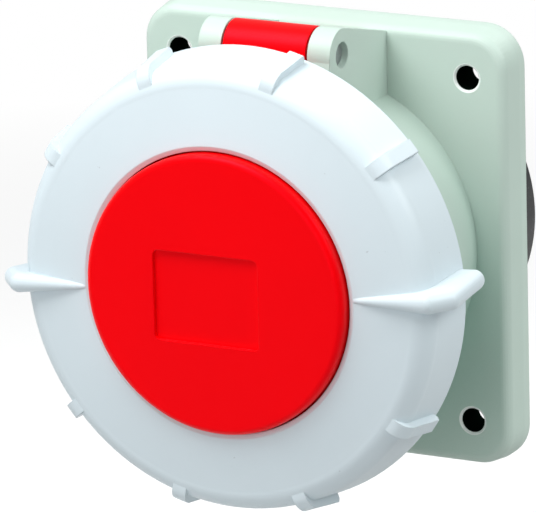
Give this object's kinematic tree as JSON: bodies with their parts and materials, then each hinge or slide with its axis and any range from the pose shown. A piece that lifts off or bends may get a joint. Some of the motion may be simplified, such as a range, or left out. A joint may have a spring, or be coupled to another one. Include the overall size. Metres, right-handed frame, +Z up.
{
  "type": "industrial panel socket",
  "caption": "Flanged industrial panel socket with a hinged red lid and a winged bayonet ring that pulls it shut on the collar.",
  "frame": {"origin": "centre of the four fixing holes, on the flange's back face, where it meets the panel", "axes": "-Y out of the panel along the socket's axis, +Z up, +X to the right as seen from the front"},
  "size_m": [0.127, 0.1165, 0.1183],
  "materials": {
    "housing": "satin",
    "ring_grey": "satin",
    "lid_red": "semi-gloss",
    "insulator": "matte",
    "rubber": "matte",
    "brass": "satin",
    "steel": "satin"
  },
  "bodies": {
    "housing": {"housing": "housing", "panel_gasket": "rubber", "carrier_seal": "rubber", "contact_insert": "insulator", "rear_carrier": "insulator", "line_1_contact": "brass", "line_2_contact": "brass", "line_3_contact": "brass", "neutral_contact": "brass", "earth_contact": "brass", "pilot_contact": "brass", "line_1_spring_ring": "steel", "line_2_spring_ring": "steel", "line_3_spring_ring": "steel", "neutral_spring_ring": "steel", "earth_spring_ring": "steel", "terminal_screws": "steel", "pilot_screw": "steel", "insert_screws": "steel", "carrier_screws": "steel", "hinge_pin": "steel", "lid_spring": "steel"},
    "lid": {"lid": "lid_red", "lid_seal": "rubber"},
    "ring": {"bayonet_ring": "ring_grey"}
  },
  "joints": [
    {"name": "lid_hinge", "type": "hinge", "parent": "housing", "child": "lid", "pos_m": [0, -0.0342, 0.0535], "axis": [-1, 0, 0], "range_deg": [0, 110], "stiffness_Nm_per_rad": 0.02, "springref_deg": -28.65, "deforming": ["lid_spring"]},
    {"name": "ring_turn", "type": "hinge", "parent": "lid", "child": "ring", "pos_m": [0, -0.06, 0], "axis": [0, 1, 0], "range_deg": [0, 40]}
  ]
}
